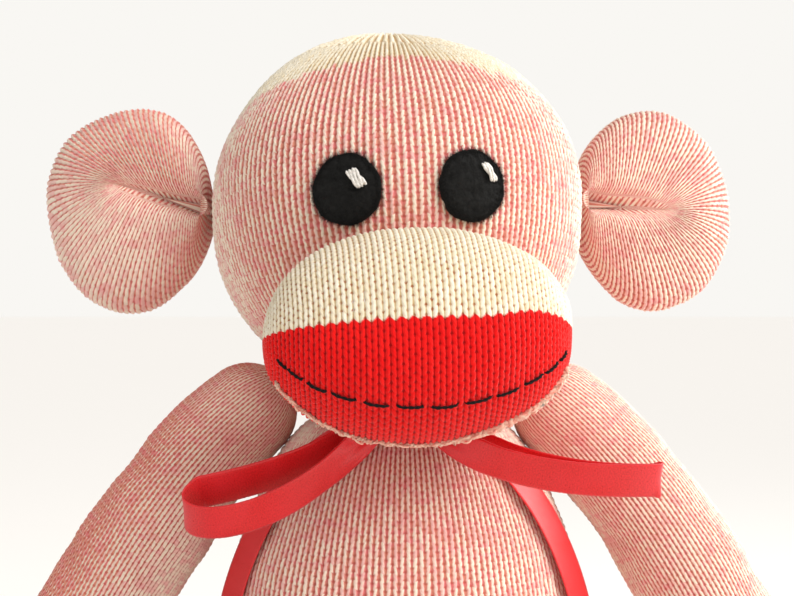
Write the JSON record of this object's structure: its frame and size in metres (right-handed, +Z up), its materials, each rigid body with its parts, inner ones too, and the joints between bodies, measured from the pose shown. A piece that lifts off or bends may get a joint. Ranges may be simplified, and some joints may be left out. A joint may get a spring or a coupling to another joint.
{
  "type": "stuffed monkey",
  "caption": "Sitting hand-sewn sock monkey in pink marl knit with a red stuffed muzzle, felt eyes, folded ears, jointed limbs, tail and a satin neck bow",
  "frame": {"origin": "middle of the flat seat face, under the body's axis", "axes": "+Z up, the toy faces -Y, +X is the toy's left side"},
  "size_m": [0.2646, 0.3675, 0.2695],
  "materials": {
    "pink_marl_knit": "matte",
    "red_heel_knit": "matte",
    "polyester_filling": "matte",
    "black_felt": "matte",
    "black_thread": "matte",
    "cream_thread": "matte",
    "red_satin": "satin"
  },
  "bodies": {
    "body": {"body_skin": "pink_marl_knit", "body_stuffing": "polyester_filling", "ribbon_band": "red_satin", "ribbon_knot": "red_satin", "left_ribbon_loop": "red_satin", "right_ribbon_loop": "red_satin", "left_ribbon_tail": "red_satin", "right_ribbon_tail": "red_satin"},
    "neck_ring": {"neck_drawstring": "cream_thread"},
    "neck": {"neck_gather": "pink_marl_knit"},
    "head": {"head_skin": "pink_marl_knit", "head_stuffing": "polyester_filling", "muzzle_skin": "red_heel_knit", "muzzle_stuffing": "polyester_filling", "muzzle_stitching": "cream_thread", "smile_stitches": "black_thread", "left_eye_felt": "black_felt", "right_eye_felt": "black_felt", "left_eye_glint": "cream_thread", "right_eye_glint": "cream_thread"},
    "tail_ring": {"tail_seam": "cream_thread"},
    "tail": {"tail_skin": "pink_marl_knit", "tail_stuffing": "polyester_filling"},
    "left_ear": {"left_ear_skin": "pink_marl_knit", "left_ear_stuffing": "polyester_filling"},
    "left_shoulder_ring": {"left_arm_seam": "cream_thread"},
    "left_arm": {"left_arm_skin": "pink_marl_knit", "left_arm_stuffing": "polyester_filling"},
    "left_hip_ring": {"left_leg_seam": "cream_thread"},
    "left_leg": {"left_leg_skin": "pink_marl_knit", "left_leg_stuffing": "polyester_filling"},
    "right_ear": {"right_ear_skin": "pink_marl_knit", "right_ear_stuffing": "polyester_filling"},
    "right_shoulder_ring": {"right_arm_seam": "cream_thread"},
    "right_arm": {"right_arm_skin": "pink_marl_knit", "right_arm_stuffing": "polyester_filling"},
    "right_hip_ring": {"right_leg_seam": "cream_thread"},
    "right_leg": {"right_leg_skin": "pink_marl_knit", "right_leg_stuffing": "polyester_filling"}
  },
  "joints": [
    {"name": "head_turns", "type": "hinge", "parent": "body", "child": "neck_ring", "pos_m": [0, 0, 0.168], "axis": [0, 0, 1], "range_deg": [-18, 18]},
    {"name": "head_nods", "type": "hinge", "parent": "neck_ring", "child": "neck", "pos_m": [0, 0, 0.168], "axis": [1, 0, 0], "range_deg": [-10, 0]},
    {"name": "head_tilts", "type": "hinge", "parent": "neck", "child": "head", "pos_m": [0, 0, 0.168], "axis": [0, 1, 0], "range_deg": [-3, 3]},
    {"name": "left_ear_folds", "type": "hinge", "parent": "head", "child": "left_ear", "pos_m": [0.05395, 0.02212, 0.22041], "axis": [-0.0442, 0.1364, 0.9897], "range_deg": [-20, 20]},
    {"name": "left_arm_swings", "type": "hinge", "parent": "body", "child": "left_shoulder_ring", "pos_m": [0.0449, 0, 0.16143], "axis": [-1, 0, 0], "range_deg": [-30, 35]},
    {"name": "left_arm_lifts", "type": "hinge", "parent": "left_shoulder_ring", "child": "left_arm", "pos_m": [0.0449, 0, 0.16143], "axis": [0, -1, 0], "range_deg": [-4, 60]},
    {"name": "left_leg_splays", "type": "hinge", "parent": "body", "child": "left_hip_ring", "pos_m": [0.03143, -0.0503, 0.0245], "axis": [0, 0, 1], "range_deg": [-8, 8]},
    {"name": "left_leg_lifts", "type": "hinge", "parent": "left_hip_ring", "child": "left_leg", "pos_m": [0.03143, -0.0503, 0.0245], "axis": [-0.9397, -0.342, 0], "range_deg": [0, 22]},
    {"name": "right_ear_folds", "type": "hinge", "parent": "head", "child": "right_ear", "pos_m": [-0.06017, 0.01483, 0.22137], "axis": [0.0442, -0.1364, -0.9897], "range_deg": [-20, 20]},
    {"name": "right_arm_swings", "type": "hinge", "parent": "body", "child": "right_shoulder_ring", "pos_m": [-0.0449, 0, 0.16143], "axis": [-1, 0, 0], "range_deg": [-30, 35]},
    {"name": "right_arm_lifts", "type": "hinge", "parent": "right_shoulder_ring", "child": "right_arm", "pos_m": [-0.0449, 0, 0.16143], "axis": [0, 1, 0], "range_deg": [-4, 60]},
    {"name": "right_leg_splays", "type": "hinge", "parent": "body", "child": "right_hip_ring", "pos_m": [-0.03143, -0.0503, 0.0245], "axis": [0, 0, -1], "range_deg": [-8, 8]},
    {"name": "right_leg_lifts", "type": "hinge", "parent": "right_hip_ring", "child": "right_leg", "pos_m": [-0.03143, -0.0503, 0.0245], "axis": [-0.9397, 0.342, 0], "range_deg": [0, 22]},
    {"name": "tail_sways", "type": "hinge", "parent": "body", "child": "tail_ring", "pos_m": [0, 0.05907, 0.01036], "axis": [0, 0, 1], "range_deg": [-20, 20]},
    {"name": "tail_lifts", "type": "hinge", "parent": "tail_ring", "child": "tail", "pos_m": [0, 0.05907, 0.01036], "axis": [1, 0, 0], "range_deg": [0, 25]}
  ]
}
